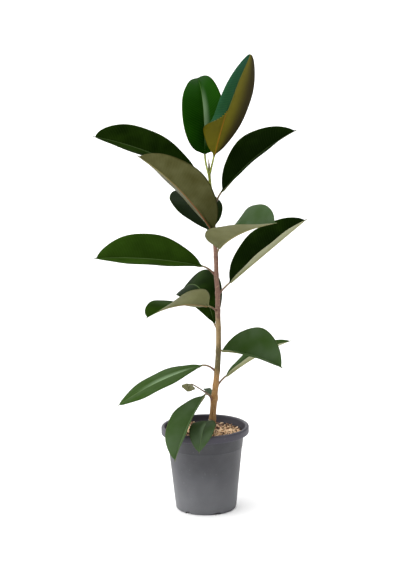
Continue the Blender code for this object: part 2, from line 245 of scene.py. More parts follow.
# Camera: where it stands, how it is turned, and its lens.
CAMERA_PLACE = (0.0, -4.0, 1.2928)
CAMERA_PITCH = 11.306
CAMERA_YAW = -0.092
CAMERA_ROLL = -0.863
CAMERA_LENS = 120.7
SENSOR_WIDTH = 36.0

# Stage. A light's softness is its width in the sky, and its turn its tilt from straight down
# and its heading, all in degrees.
FLOOR_SIZE = 120.0
FLOOR_DROP = 0.0002
KEY_SOFTNESS = 130.0
KEY_TURN = (23.0, 0.0, -125.0)
FILL_SOFTNESS = 50.0
FILL_TURN = (58.0, 0.0, -68.0)
ROOM_LIGHT = (0.26, 0.26, 0.265, 1.0)
BACKDROP = (1.0, 1.0, 1.0, 1.0)


def linear(code):
    """A linear colour from an sRGB hex code."""
    channels = []
    for start in (1, 3, 5):
        value = int(code[start:start + 2], 16) / 255
        channels.append(value / 12.92 if value <= 0.04045 else ((value + 0.055) / 1.055) ** 2.4)
    return (*channels, 1.0)


def length_property(name, description, default):
    return FloatProperty(name=name, description=description, default=default, unit="LENGTH")


def colour_property(name, description, code):
    return FloatVectorProperty(
        name=name, description=description, default=linear(code), size=4, subtype="COLOR", min=0, max=1
    )


class PotSettings(bpy.types.PropertyGroup):
    height: length_property("Height", "Height of the pot", POT_BOX[1].z)
    rim_radius: length_property("Rim radius", "Outer radius of the rolled rim", POT_BOX[1].x)
    wall: length_property("Wall", "Thickness of the pot's wall", 0.0022)
    colour: colour_property("Plastic", "Colour of the recycled plastic", "#3e3e42")
    # The second colour is that of the pale clouds and of the painted floor light on the lower wall.
    clouds_and_floor_light: colour_property("Bloom", "Colour of the pale bloom on the plastic", "#66676a")


class SoilSettings(bpy.types.PropertyGroup):
    level: length_property(
        "Level", "Height of the soil's surface", SOIL_BOX[1].z - SOIL_HEAP - SOIL_LUMP
    )
    chips: IntProperty(name="Chips", description="Number of bark chips", default=420, min=1)
    crumbs: IntProperty(name="Crumbs", description="Number of peat crumbs", default=420, min=1)
    peat: colour_property("Peat", "Colour of the moist peat", "#2e2018")


class StemSettings(bpy.types.PropertyGroup):
    foot: colour_property("Foot", "Colour of the old bark at the soil", "#9c7440")
    middle: colour_property("Middle", "Colour of the bark half way up", "#9c8358")
    upper: colour_property("Upper", "Colour of the reddish young stem", "#7c5a4a")
    tip: colour_property("Tip", "Colour of this year's shoot", "#8c9430")


class LeafSettings(bpy.types.PropertyGroup):
    mature: colour_property("Mature", "Upper side of a mature leaf", "#0a1801")
    young: colour_property("Young", "Upper side of a young leaf", "#082a00")
    mature_under: colour_property("Mature underside", "Underside of a mature leaf", "#3e3c14")
    young_under: colour_property("Young underside", "Underside of a young leaf", "#1e1706")


class StageSettings(bpy.types.PropertyGroup):
    floor: colour_property("Floor", "Colour of the studio floor", "#fafafa")
    key: FloatProperty(name="Key", description="Strength of the main light", default=4.4, min=0)
    fill: FloatProperty(name="Fill", description="Strength of the fill light", default=1.2, min=0)


# Materials


def add_node(tree, kind, inputs=None, **settings):
    """Add a shader node. inputs gives a socket a number, a colour or its code, a source or None."""
    node = tree.nodes.new("ShaderNode" + kind)
    for name, setting in settings.items():
        setattr(node, name, setting)
    for socket, given in (inputs or {}).items():
        if isinstance(given, bpy.types.NodeSocket):
            tree.links.new(given, node.inputs[socket])
        elif given is not None:
            node.inputs[socket].default_value = linear(given) if isinstance(given, str) else given
    return node


def new_material(name, roughness=0.5, shine=0.5):
    """A material, its node tree and the place of a point on it. shine is its specular level."""
    material = bpy.data.materials.new(name)
    material.use_nodes = True
    tree = material.node_tree
    shader = tree.nodes["Principled BSDF"]
    shader.inputs["Roughness"].default_value = roughness
    shader.inputs["Specular IOR Level"].default_value = shine
    return material, tree, add_node(tree, "TexCoord").outputs["Object"]


def dress(material, colour, normal=None, roughness=None):
    """Give a material the sockets that drive it."""
    tree = material.node_tree
    shader = tree.nodes["Principled BSDF"]
    for name, source in (("Base Color", colour), ("Normal", normal), ("Roughness", roughness)):
        if source is not None:
            tree.links.new(source, shader.inputs[name])
    return material


def mix(tree, factor, first, second):
    """Mix two colours. Each argument is a number, a colour, its code or a socket."""
    return add_node(tree, "Mix", {0: factor, 6: first, 7: second}, data_type="RGBA").outputs[2]


def math_of(tree, operation, *terms):
    """The outcome of one Math node over one to three numbers or sockets."""
    return add_node(tree, "Math", dict(enumerate(terms)), operation=operation).outputs[0]


def ramp(tree, source, low, high, to_low=0.0, to_high=1.0):
    """A smooth step of a number from low to high."""
    inputs = dict(enumerate((source, low, high, to_low, to_high)))
    return add_node(tree, "MapRange", inputs, interpolation_type="SMOOTHSTEP").outputs[0]


def pattern(tree, place, size, detail=2.0, roughness=0.5):
    """Cloudy noise whose clouds are about this many metres across."""
    inputs = {"Vector": place, "Scale": 1.0 / size, "Detail": detail, "Roughness": roughness}
    return add_node(tree, "TexNoise", inputs).outputs["Fac"]


def bump(tree, height, distance, strength=1.0, normal=None):
    inputs = {"Height": height, "Distance": distance, "Strength": strength, "Normal": normal}
    return add_node(tree, "Bump", inputs).outputs["Normal"]


def height_of(tree, place):
    return add_node(tree, "SeparateXYZ", {0: place}).outputs["Z"]


def drawn_out(tree, place, scale):
    """The place with its height scaled down, so that a pattern on it is drawn out upwards."""
    return add_node(tree, "Mapping", {"Vector": place, "Scale": (1.0, 1.0, scale)}).outputs[0]


def leaf_value(tree, name):
    """A number that each leaf carries as a point attribute."""
    return add_node(tree, "Attribute", attribute_name=name).outputs["Fac"]


def recycled_polypropylene(settings):
    """Injection-moulded recycled polypropylene: satin and cloudy, with pale specks, pale clouds and
    painted floor light on the lower wall.
    """
    material, tree, place = new_material("recycled_polypropylene", shine=0.3)
    clouds = ramp(tree, pattern(tree, place, 0.045, 2.0), 0.3, 0.75)
    height = height_of(tree, place)
    # Pale clouds, and painted floor light: the lower wall is painted paler towards the base, as if lit
    # by the bright floor.
    clouds_and_floor_light = math_of(tree, "MULTIPLY_ADD", clouds, 0.25, ramp(tree, height, 0.13, 0.01, 0.0, 0.7))
    colour = mix(tree, clouds_and_floor_light, settings.colour, settings.clouds_and_floor_light)
    # Towards the rim the plastic turns violet grey.
    colour = mix(tree, ramp(tree, height, 0.158, 0.17, 0.0, 0.8), colour, "#413e49")
    specks = ramp(tree, pattern(tree, place, 0.0035, 1.0), 0.68, 0.8)
    colour = mix(tree, math_of(tree, "MULTIPLY", specks, 0.18), colour, "#8b8d8e")
    rough = math_of(tree, "MULTIPLY_ADD", clouds, 0.14, 0.42)
    # The mould's fine spark-eroded grain, about 1 mm so that it can be seen.
    normal = bump(tree, pattern(tree, place, 0.001, 2.0), 0.00008, 0.5)
    normal = bump(tree, pattern(tree, place, 0.012, 1.0), 0.0004, 0.5, normal)
    return dress(material, colour, normal, rough)


def moist_peat(settings):
    """Moist peat and fine bark: almost black brown, fibrous and matt."""
    material, tree, place = new_material("moist_peat", 0.9)
    coarse = pattern(tree, place, 0.007, 4.0, 0.65)
    fine = pattern(tree, place, 0.0018, 3.0, 0.7)
    colour = mix(tree, ramp(tree, coarse, 0.35, 0.65), settings.peat, "#4d3424")
    colour = mix(tree, ramp(tree, fine, 0.58, 0.72), colour, "#8a6444")
    normal = bump(tree, fine, 0.0012, 0.8)
    return dress(material, colour, bump(tree, coarse, 0.003, 0.8, normal))


def dry_bark(name, light, dark):
    """Dry chipped bark: matt, with darker corky streaks a few millimetres long."""
    material, tree, place = new_material(name, 0.8)
    streaks = pattern(tree, place, 0.004, 3.0, 0.6)
    colour = mix(tree, ramp(tree, streaks, 0.42, 0.68), light, dark)
    return dress(material, colour, bump(tree, streaks, 0.0008, 0.7))


def rubber_plant_bark(settings):
    """Thin bark: brown and corky at the foot, then green brown, reddish, and green at the tip."""
    material, tree, place = new_material("rubber_plant_bark", 0.6)
    height = height_of(tree, place)
    wander = math_of(tree, "MULTIPLY_ADD", pattern(tree, place, 0.03, 2.0), 0.04, -0.02)
    height = math_of(tree, "ADD", height, wander)
    colour = settings.foot
    for low, high, shade in (
        (0.285, 0.312, "#554a20"),
        (0.345, 0.38, settings.middle),
        (0.405, 0.43, settings.upper),
        (0.64, 0.7, settings.tip),
    ):
        colour = mix(tree, ramp(tree, height, low, high), colour, shade)
    # Fine vertical cracks: noise stretched eight times along the stem.
    cracks = pattern(tree, drawn_out(tree, place, 0.12), 0.0016, 3.0, 0.6)
    colour = mix(tree, ramp(tree, cracks, 0.5, 0.72, 0.0, 0.6), colour, "#3d2a1c")
    # Lenticels: pale corky dots about 1 mm across.
    dots = add_node(tree, "TexVoronoi", {"Vector": place, "Scale": 210.0, "Randomness": 1.0})
    dots = ramp(tree, dots.outputs["Distance"], 0.26, 0.16)
    colour = mix(tree, math_of(tree, "MULTIPLY", dots, 0.5), colour, "#b8a078")
    normal = bump(tree, cracks, 0.0004, 0.6)
    return dress(material, colour, bump(tree, dots, 0.0003, 0.6, normal))


def papery_sheath():
    """The stipule round the next leaf: thin, papery, olive with a reddish tip and fine ribs."""
    material, tree, place = new_material("papery_sheath", 0.45)
    height = height_of(tree, place)
    reddening = ramp(tree, height, BUD_BOX[0].z, BUD_BOX[1].z)
    colour = mix(tree, reddening, "#5b5f1c", "#7a4a26")
    ribs = pattern(tree, drawn_out(tree, place, 0.1), 0.0009, 1.0)
    colour = mix(tree, ramp(tree, ribs, 0.5, 0.7, 0.0, 0.4), colour, "#33300f")
    return dress(material, colour, bump(tree, ribs, 0.0002, 0.5))


def blade_places(tree):
    """How far a point is across the blade (0 at the midrib, 1 at the margin), along it from 0 to 1,
    and across it with a sign: less than 0 on the left half.
    """
    uv = add_node(tree, "UVMap", uv_map="blade").outputs[0]
    split = add_node(tree, "SeparateXYZ", {0: uv})
    return math_of(tree, "ABSOLUTE", split.outputs["X"]), split.outputs["Y"], split.outputs["X"]


def lateral_veins(tree, across, along):
    """Fine parallel side veins: they leave the midrib, lean towards the tip and run to the margin."""
    lean = math_of(tree, "MULTIPLY", math_of(tree, "POWER", across, 1.3), 0.1)
    phase = math_of(tree, "MULTIPLY", math_of(tree, "SUBTRACT", along, lean), VEIN_COUNT * tau)
    wave = math_of(tree, "SINE", phase)
    return ramp(tree, wave, 0.6, 1.0)


def shade_of(tree, place, attribute, size, spread):
    """How light a leaf's side is painted for the light and shade it gets, clouded by a little noise."""
    clouds = pattern(tree, place, size, 2.0)
    clouds = math_of(tree, "MULTIPLY_ADD", clouds, spread, -spread / 2)
    return math_of(tree, "ADD", clouds, leaf_value(tree, attribute))


def leaf_upper(name, dark, middle, light, midrib, vein_tint, vein_depth):
    """A leaf's upper side: dark and waxy, with sunken side veins and a pale midrib."""
    material, tree, place = new_material(name, shine=0.005)
    across, along, aside = blade_places(tree)
    # Painted light and shade: each leaf's upper side is painted from dark to light by how much light
    # falls on it.
    shade = shade_of(tree, place, "tone", 0.045, 0.35)
    colour = mix(tree, ramp(tree, shade, 0.0, 0.4), dark, middle)
    colour = mix(tree, ramp(tree, shade, 0.3, 1.0), colour, light)
    veins = lateral_veins(tree, across, along)
    colour = mix(tree, math_of(tree, "MULTIPLY", veins, vein_tint), colour, midrib)
    colour = mix(tree, ramp(tree, across, 0.03, 0.008, 0.0, 0.35), colour, midrib)
    colour = mix(tree, ramp(tree, across, 0.97, 0.997, 0.0, 0.6), colour, "#7f8f52")
    # A painted highlight on one side of the midrib, strongest along the middle of the blade.
    sheen = leaf_value(tree, "sheen")
    side = math_of(tree, "GREATER_THAN", math_of(tree, "MULTIPLY", aside, sheen), 0.0)
    sheen = math_of(tree, "ABSOLUTE", sheen)
    near = ramp(tree, across, 0.36, 0.0)
    starting = ramp(tree, along, 0.02, 0.25)
    ending = ramp(tree, along, 0.8, 0.4)
    for share in (side, near, starting, ending):
        sheen = math_of(tree, "MULTIPLY", sheen, share)
    colour = mix(tree, sheen, colour, "#8fa884")
    rough = math_of(tree, "MULTIPLY_ADD", pattern(tree, place, 0.015, 3.0), 0.12, 0.34)
    # The skin between the veins is a little raised; its cells are drawn 1.5 mm wide.
    normal = bump(tree, veins, -vein_depth, 0.6)
    normal = bump(tree, pattern(tree, place, 0.0015, 2.0), 0.00005, 0.5, normal)
    normal = bump(tree, pattern(tree, place, 0.03, 1.0), 0.0012, 0.5, normal)
    return dress(material, colour, normal, rough)


def leaf_under(name, dark, light, midrib_foot, midrib_tip, shadow):
    """A leaf's underside: matt and paler, with a net of raised veins and a coloured midrib.

    shadow is how much the left half darkens towards its margin.
    """
    material, tree, place = new_material(name, 0.52, shine=0.08)
    across, along, aside = blade_places(tree)
    # Painted light and shade: each leaf's underside is painted from dark to light by how much light
    # falls on it.
    colour = mix(tree, shade_of(tree, place, "pale", 0.035, 0.4), dark, light)
    veins = lateral_veins(tree, across, along)
    colour = mix(tree, math_of(tree, "MULTIPLY", veins, 0.04), colour, midrib_tip)
    blush = math_of(tree, "MULTIPLY", ramp(tree, along, 0.85, 0.1), leaf_value(tree, "blush"))
    midrib = mix(tree, blush, midrib_tip, midrib_foot)
    colour = mix(tree, ramp(tree, aside, -0.15, -0.85, 0.0, shadow), colour, dark)
    colour = mix(tree, ramp(tree, across, 0.032, 0.014, 0.0, 0.8), colour, midrib)
    normal = bump(tree, veins, 0.00003, 0.6)
    normal = bump(tree, pattern(tree, place, 0.0012, 2.0), 0.0001, 0.5, normal)
    return dress(material, colour, normal)


def leaf_stalk(name, foot, end):
    """A leaf's stalk: smooth skin that changes colour from the stem to the blade."""
    material, tree, place = new_material(name, 0.42)
    _, along, _ = blade_places(tree)
    colour = mix(tree, ramp(tree, along, -1.0, 0.0), foot, end)
    colour = mix(tree, ramp(tree, pattern(tree, place, 0.003, 2.0), 0.5, 0.75, 0.0, 0.35), colour, foot)
    return dress(material, colour, bump(tree, pattern(tree, place, 0.0015, 2.0), 0.0001, 0.5))


def studio_floor(settings):
    """Matt painted board: pale, with the faintest mottling."""
    material, tree, place = new_material("painted_board", 0.9)
    clouds = pattern(tree, place, 0.8, 2.0)
    shade = tuple(channel * 0.985 for channel in settings.floor[:3]) + (1.0,)
    return dress(material, mix(tree, clouds, settings.floor, shade))


# Modelling


def deselect_all():
    if bpy.context.object and bpy.context.object.mode != "OBJECT":
        bpy.ops.object.mode_set(mode="OBJECT")
    bpy.ops.object.select_all(action="DESELECT")


def select_only(piece):
    deselect_all()
    piece.select_set(True)
    bpy.context.view_layer.objects.active = piece


def place_in_mesh(piece):
    """Put a piece's place, turn and scale into its mesh."""
    select_only(piece)
    bpy.ops.object.transform_apply()


def apply_modifier(piece, kind, **settings):
    select_only(piece)
    modifier = piece.modifiers.new(kind.lower(), kind)
    for name, setting in settings.items():
        setattr(modifier, name, setting)
    bpy.ops.object.modifier_apply(modifier=modifier.name)


def arc(middle_radius, middle_height, radius, start, end, steps):
    """Points of an arc in an outline, as (radius, height) pairs. The angles are in degrees."""
    points = []
    for k in range(steps + 1):
        angle = radians(start + (end - start) * k / steps)
        points.append((middle_radius + radius * cos(angle), middle_height + radius * sin(angle)))
    return points


def extruded_profile(name, outline, segments):
    """Shape a round solid from a disc: every further (radius, height) is an extrusion and a scaling."""
    deselect_all()
    radius, height = outline[0]
    bpy.ops.mesh.primitive_circle_add(
        vertices=segments, radius=radius, fill_type="NGON", location=(0.0, 0.0, height)
    )
    piece = bpy.context.object
    piece.name = piece.data.name = name
    place_in_mesh(piece)
    bpy.ops.object.mode_set(mode="EDIT")
    bpy.ops.mesh.select_all(action="SELECT")
    for next_radius, next_height in outline[1:]:
        bpy.ops.mesh.extrude_region_move(
            TRANSFORM_OT_translate={"value": (0.0, 0.0, next_height - height)}
        )
        ratio = next_radius / radius
        bpy.ops.transform.resize(value=(ratio, ratio, 1.0), center_override=(0.0, 0.0, next_height))
        radius, height = next_radius, next_height
    bpy.ops.mesh.select_all(action="SELECT")
    bpy.ops.mesh.normals_make_consistent(inside=False)
    bpy.ops.object.mode_set(mode="OBJECT")
    return piece


def wrapped_grid(name, columns, rows, point_at, uv_at=None):
    """Wrap a grid into a closed tube: its columns run round the tube and its rows along it."""
    deselect_all()
    bpy.ops.mesh.primitive_grid_add(x_subdivisions=columns, y_subdivisions=rows, size=1.0)
    piece = bpy.context.object
    piece.name = piece.data.name = name
    mesh = piece.data
    mesh.uv_layers.active.name = "blade"
    if uv_at:
        for corner in mesh.uv_layers.active.data:
            corner.uv = uv_at(corner.uv.x * columns, corner.uv.y * rows)
    for vert in mesh.vertices:
        column = round((vert.co.x + 0.5) * columns) % columns
        vert.co = point_at(column, round((vert.co.y + 0.5) * rows))
    bpy.ops.object.mode_set(mode="EDIT")
    bpy.ops.mesh.select_all(action="SELECT")
    bpy.ops.mesh.remove_doubles(threshold=0.000001)
    bpy.ops.mesh.fill_holes(sides=0)
    bpy.ops.mesh.normals_make_consistent(inside=False)
    bpy.ops.object.mode_set(mode="OBJECT")
    bpy.ops.object.shade_smooth()
    return piece


def finish_piece(piece, node, slot, *materials):
    """Give a piece its materials, and say what it rides on and stands for. slot, the finish it would
    take, is not used.
    """
    for material in materials:
        piece.data.materials.append(material)
    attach(piece, "root")
    if node:
        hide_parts(node)


def smooth_step(low, high, x):
    t = min(max((x - low) / (high - low), 0.0), 1.0)
    return t * t * (3 - 2 * t)


# Pot


def wall_radius(height):
    """The pot's outer radius between its base and its collar."""
    top = COLLAR_FOOT_RADIUS - COLLAR_STEP
    return BASE_RADIUS + (top - BASE_RADIUS) * height / COLLAR_FOOT_HEIGHT


def pot_outline(settings):
    """The pot's outline: up the outside, over the rolled rim, down the inside to the floor."""
    rim_foot = settings.height - RIM_DEPTH
    crest = (settings.rim_radius - RIM_MOUTH_RADIUS) / 2
    waist = COLLAR_FOOT_RADIUS - COLLAR_STEP
    outline = [(AXIS_RADIUS, 0.0), (BASE_RADIUS * 0.6, 0.0)]
    corner = BASE_RADIUS - BASE_ROUNDING + 0.0004
    outline += arc(corner, BASE_ROUNDING, BASE_ROUNDING, -90, 0, 8)
    for height in (0.03, 0.064, 0.098, COLLAR_FOOT_HEIGHT - COLLAR_ROUNDING):
        outline.append((wall_radius(height), height))
    outline += [
        (waist + 0.0003, COLLAR_FOOT_HEIGHT - 0.0004),
        (COLLAR_FOOT_RADIUS + 0.0003, COLLAR_FOOT_HEIGHT + 0.0004),
        (COLLAR_FOOT_RADIUS + 0.0001, COLLAR_FOOT_HEIGHT + 0.0018),
        (COLLAR_TOP_RADIUS - 0.0004, rim_foot - THROAT_DROP),
        (COLLAR_TOP_RADIUS, rim_foot - 0.0006),
    ]
    outline += arc(COLLAR_TOP_RADIUS + COLLAR_ROUNDING, rim_foot - 0.0006, COLLAR_ROUNDING, 180, 90, 3)
    lip = settings.rim_radius - RIM_LIP_ROUNDING
    outline += arc(lip, rim_foot + RIM_LIP_ROUNDING, RIM_LIP_ROUNDING, -90, 0, 5)
    outline += arc(settings.rim_radius - crest, settings.height - crest, crest, 6, 174, 14)
    return outline + [
        (RIM_MOUTH_RADIUS - 0.0012, rim_foot + 0.002),
        (COLLAR_TOP_RADIUS - settings.wall, rim_foot - THROAT_DROP),
        (waist - settings.wall, COLLAR_FOOT_HEIGHT),
        (wall_radius(0.07) - settings.wall, 0.07),
        (wall_radius(FLOOR_THICKNESS) - settings.wall, FLOOR_THICKNESS),
        (BASE_RADIUS * 0.5, FLOOR_THICKNESS),
        (AXIS_RADIUS, FLOOR_THICKNESS),
    ]


class PLANT_OT_add_pot(bpy.types.Operator):
    """Add the nursery pot with its rolled rim, collar and drain slots"""

    bl_idname = "plant.add_pot"
    bl_label = "Nursery Pot"

    def execute(self, context):
        settings = context.scene.pot_settings
        pot = extruded_profile("pot_shell", pot_outline(settings), POT_SEGMENTS)
        for k in range(DRAIN_COUNT):
            angle = radians(DRAIN_FIRST_ANGLE + k * 360.0 / DRAIN_COUNT)
            deselect_all()
            reach = BASE_RADIUS - DRAIN_INSET
            bpy.ops.mesh.primitive_cube_add(
                size=1.0,
                location=(reach * cos(angle), reach * sin(angle), 0.0),
                rotation=(0.0, 0.0, angle),
                scale=DRAIN_SLOT,
            )
            cutter = bpy.context.object
            place_in_mesh(cutter)
            apply_modifier(cutter, "BEVEL", width=DRAIN_BEVEL, segments=4, limit_method="ANGLE")
            apply_modifier(pot, "BOOLEAN", object=cutter, operation="DIFFERENCE", solver="EXACT")
            bpy.data.objects.remove(cutter, do_unlink=True)
        select_only(pot)
        bpy.ops.object.shade_smooth_by_angle(angle=radians(38))
        finish_piece(pot, "nursery_pot", "pot", recycled_polypropylene(settings))
        return {"FINISHED"}


# Soil


def inner_radius(height):
    """The pot's inner radius below its rim."""
    wall = bpy.context.scene.pot_settings.wall
    if height < COLLAR_FOOT_HEIGHT:
        return wall_radius(height) - wall
    waist = COLLAR_FOOT_RADIUS - COLLAR_STEP - wall
    top_height = POT_BOX[1].z - RIM_DEPTH - THROAT_DROP
    share = (height - COLLAR_FOOT_HEIGHT) / (top_height - COLLAR_FOOT_HEIGHT)
    return waist + (COLLAR_TOP_RADIUS - wall - waist) * share


def soil_height(x, y, level):
    """The soil's surface: a low heap with lumps, sunk a little along the wall."""
    brim = inner_radius(level)
    share = min(hypot(x, y) / brim, 1.0)
    heap = SOIL_HEAP * (1 - share * share) - SOIL_EDGE_DROP * smooth_step(0.86, 1.0, share)
    lumps = noise.noise(Vector((x, y, 0.0)) * LUMPS_PER_METRE)
    grit = noise.noise(Vector((x, y, 0.3)) * GRIT_PER_METRE)
    return level + heap + SOIL_LUMP * (lumps + 0.5 * grit)


class PLANT_OT_add_soil(bpy.types.Operator):
    """Add the root ball with its lumpy surface"""

    bl_idname = "plant.add_soil"
    bl_label = "Potting Soil"

    def execute(self, context):
        settings = context.scene.soil_settings
        foot = FLOOR_THICKNESS + SOIL_FLOOR_GAP
        edge = settings.level - SOIL_EDGE_DROP
        outline = [(AXIS_RADIUS, foot), (inner_radius(foot) - SOIL_WALL_GAP, foot)]
        for height in (COLLAR_FOOT_HEIGHT, edge):
            outline.append((inner_radius(height) - SOIL_WALL_GAP, height))
        brim = inner_radius(edge) - SOIL_WALL_GAP
        outline += [(brim * (1 - k / SOIL_RINGS), edge) for k in range(1, SOIL_RINGS)]
        outline += [(AXIS_RADIUS, edge)]
        soil = extruded_profile("soil_ball", outline, SOIL_SEGMENTS)
        for vert in soil.data.vertices:
            if vert.co.z > edge - 0.0001 and hypot(vert.co.x, vert.co.y) < brim - 0.0001:
                vert.co.z = soil_height(vert.co.x, vert.co.y, settings.level)
        select_only(soil)
        bpy.ops.object.shade_smooth_by_angle(angle=radians(60))
        finish_piece(soil, "potting_soil", "soil", moist_peat(settings))
        return {"FINISHED"}


def chip_shape(seed):
    """One irregular chip: a squashed low ball with its corners pushed about, 1 across."""
    deselect_all()
    bpy.ops.mesh.primitive_ico_sphere_add(subdivisions=1, radius=0.5)
    chip = bpy.context.object
    dice = random.Random(seed)
    for vert in chip.data.vertices:
        vert.co.x *= dice.uniform(0.75, 1.15)
        vert.co.y *= dice.uniform(0.6, 1.2)
        vert.co.z *= dice.uniform(0.7, 1.25)
    return chip


def scatter(name, shapes, count, seed, sizes, flatness, spread, level, lift):
    """Copy the shapes over the soil and join them into one piece.

    sizes are the smallest and largest lengths, flatness is height over length, spread(x, y) is
    how likely a copy is to stay at a place, from 0 to 1, and lift is how far a copy's middle
    stands over the soil, as a part of its height.
    """
    dice = random.Random(seed)
    brim = inner_radius(level) - RIM_CLEARANCE
    copies = []
    while len(copies) < count:
        reach = brim * sqrt(dice.random())
        angle = dice.uniform(0, tau)
        x = reach * cos(angle)
        y = reach * sin(angle)
        kept = dice.random() < spread(x, y)
        near_stem = hypot(x - STEM_FOOT_X, y) < STEM_ROUTE[0][2] + STEM_CLEARANCE
        length = dice.uniform(*sizes)
        turn = Euler((dice.gauss(0, CHIP_TILT), dice.gauss(0, CHIP_TILT), dice.uniform(0, tau)))
        shape = dice.choice(shapes)
        if near_stem or not kept:
            continue
        size = Matrix.Diagonal((length, length * dice.uniform(0.45, 0.85), length * flatness, 1.0))
        height = soil_height(x, y, level) + length * flatness * lift
        copy = bpy.data.objects.new(name, shape.data.copy())
        copy.data.transform(Matrix.Translation((x, y, height)) @ turn.to_matrix().to_4x4() @ size)
        bpy.context.collection.objects.link(copy)
        copies.append(copy)
    deselect_all()
    for copy in copies:
        copy.select_set(True)
    bpy.context.view_layer.objects.active = copies[0]
    bpy.ops.object.join()
    piece = bpy.context.object
    piece.name = piece.data.name = name
    bpy.ops.object.shade_flat()
    return piece


def pale_heap(x, y):
    """Where the dry pale chips lie: a heap right of the stem, and a small one to its left."""
    right = exp(-(((x - 0.044) / 0.03) ** 2 + ((y + 0.014) / 0.034) ** 2))
    left = exp(-(((x + 0.028) / 0.016) ** 2 + ((y - 0.002) / 0.03) ** 2))
    return min(0.06 + right + 0.9 * left, 1.0)


class PLANT_OT_add_chips(bpy.types.Operator):
    """Scatter bark chips and peat crumbs over the soil"""

    bl_idname = "plant.add_chips"
    bl_label = "Bark Chips and Crumbs"

    def execute(self, context):
        settings = context.scene.soil_settings
        shapes = [chip_shape(seed) for seed in range(CHIP_SHAPES)]
        for name, count, seed, sizes, flatness, spread, lift, material in (
            ("bark_chips_pale", settings.chips, 3, (0.004, 0.0095), 0.36, pale_heap, 0.55,
             ("dry_bark_pale", "#fbdcb6", "#c89462")),
            ("bark_chips_brown", settings.chips, 4, (0.0035, 0.009), 0.36, lambda x, y: 0.6, 0.36,
             ("dry_bark_brown", "#8a6448", "#4a3024")),
            ("peat_crumbs", settings.crumbs, 5, (0.002, 0.005), 0.7, lambda x, y: 1.0, 0.3,
             ("peat_crumb", "#3b2a20", "#1f1612")),
        ):
            piece = scatter(name, shapes, count, seed, sizes, flatness, spread, settings.level, lift)
            finish_piece(piece, None, "soil", dry_bark(*material))
        for shape in shapes:
            bpy.data.objects.remove(shape, do_unlink=True)
        return {"FINISHED"}


# Stem


def stem_at(height):
    """The stem's middle (a point) and radius at a height, on a smooth curve through its route."""
    last = len(STEM_ROUTE) - 2
    k = 0
    while k < last and STEM_ROUTE[k + 1][1] <= height:
        k += 1
    before = STEM_ROUTE[max(k - 1, 0)]
    low = STEM_ROUTE[k]
    high = STEM_ROUTE[k + 1]
    after = STEM_ROUTE[min(k + 2, last + 1)]
    span = high[1] - low[1]
    t = (height - low[1]) / span
    values = []
    for item in (0, 2):
        slope_low = (high[item] - before[item]) / max(high[1] - before[1], 0.001) * span
        slope_high = (after[item] - low[item]) / max(after[1] - low[1], 0.001) * span
        values.append(
            (2 * t**3 - 3 * t**2 + 1) * low[item]
            + (t**3 - 2 * t**2 + t) * slope_low
            + (3 * t**2 - 2 * t**3) * high[item]
            + (t**3 - t**2) * slope_high
        )
    return Vector((values[0], 0.0, height)), values[1]


def stem_radius(height, angle):
    """The stem's radius all round: swollen at each leaf, with a ring scar over it and faint flutes."""
    _, radius = stem_at(height)
    swelling = 1.0
    ridge = 0.0
    for leaf in LEAVES:
        offset = (height - leaf.joint) / NODE_SPREAD
        swelling += NODE_SWELLING * exp(-offset * offset)
        tilt = SCAR_TILT * cos(angle - atan2(leaf.base[1], leaf.base[0] - STEM_FOOT_X))
        scar = (height - leaf.joint - SCAR_HEIGHT - tilt) / SCAR_WIDTH
        ridge += SCAR_RIDGE * exp(-scar * scar)
    around = Vector((cos(angle), sin(angle), height * 18.0))
    return radius * swelling + ridge + FLUTE_DEPTH * noise.noise(around * 1.6)


class PLANT_OT_add_stem(bpy.types.Operator):
    """Add the woody stem with its leaf nodes and scars"""

    bl_idname = "plant.add_stem"
    bl_label = "Stem"

    def execute(self, context):
        foot = STEM_ROUTE[0][1]
        top = STEM_ROUTE[-1][1]

        def point_at(column, row):
            height = foot + (top - foot) * row / STEM_STATIONS
            angle = tau * column / STEM_SIDES
            radius = stem_radius(height, angle)
            middle, _ = stem_at(height)
            return middle + Vector((radius * cos(angle), radius * sin(angle), 0.0))

        stem = wrapped_grid("main_stem", STEM_SIDES, STEM_STATIONS, point_at)
        finish_piece(stem, "stem", "bark", rubber_plant_bark(context.scene.stem_settings))
        return {"FINISHED"}


class PLANT_OT_add_bud(bpy.types.Operator):
    """Add the pointed sheath that wraps the next leaf"""

    bl_idname = "plant.add_bud"
    bl_label = "Bud Sheath"

    def execute(self, context):
        foot, _ = stem_at(STEM_ROUTE[-1][1])
        length = BUD_BOX[1].z - BUD_BOX[0].z

        def point_at(column, row):
            share = row / BUD_STATIONS
            angle = tau * column / BUD_SIDES
            # The sheath is a rolled scale, so its free edge winds up round it as a low step.
            overlap = (column / BUD_SIDES + 0.8 * share) % 1.0
            around = BUD_RADIUS * (1 - share) ** 0.7 * (1 + 0.35 * sin(pi * share))
            around *= 1 + 0.16 * overlap * (1 - smooth_step(0.92, 1.0, overlap))
            lean = -0.05 * length * share + 0.001 * sin(pi * share)
            middle = foot + Vector((lean, 0.0, length * share))
            return middle + Vector((around * cos(angle), around * sin(angle), 0.0))

        bud = wrapped_grid("shoot_bud", BUD_SIDES, BUD_STATIONS, point_at)
        finish_piece(bud, "bud_sheath", "sheath", papery_sheath())
        return {"FINISHED"}


# Leaves


def leaf_frame(leaf):
    """Base, bow point and tip of the midrib's curve, and the level direction to the leaf's left."""
    base = Vector(leaf.base)
    tip = Vector(leaf.tip)
    chord = tip - base
    left = Vector((-chord.y, chord.x, 0.0)).normalized()
    up = chord.normalized().cross(left)
    bow = (base + tip) / 2 + (up * leaf.arch + left * leaf.sway) * (2 * chord.length)
    return base, bow, tip, left


def curve_point(start, middle, end, t):
    return start * (1 - t) ** 2 + middle * (2 * t * (1 - t)) + end * t**2


def curve_direction(start, middle, end, t):
    return ((middle - start) * (1 - t) + (end - middle) * t).normalized()


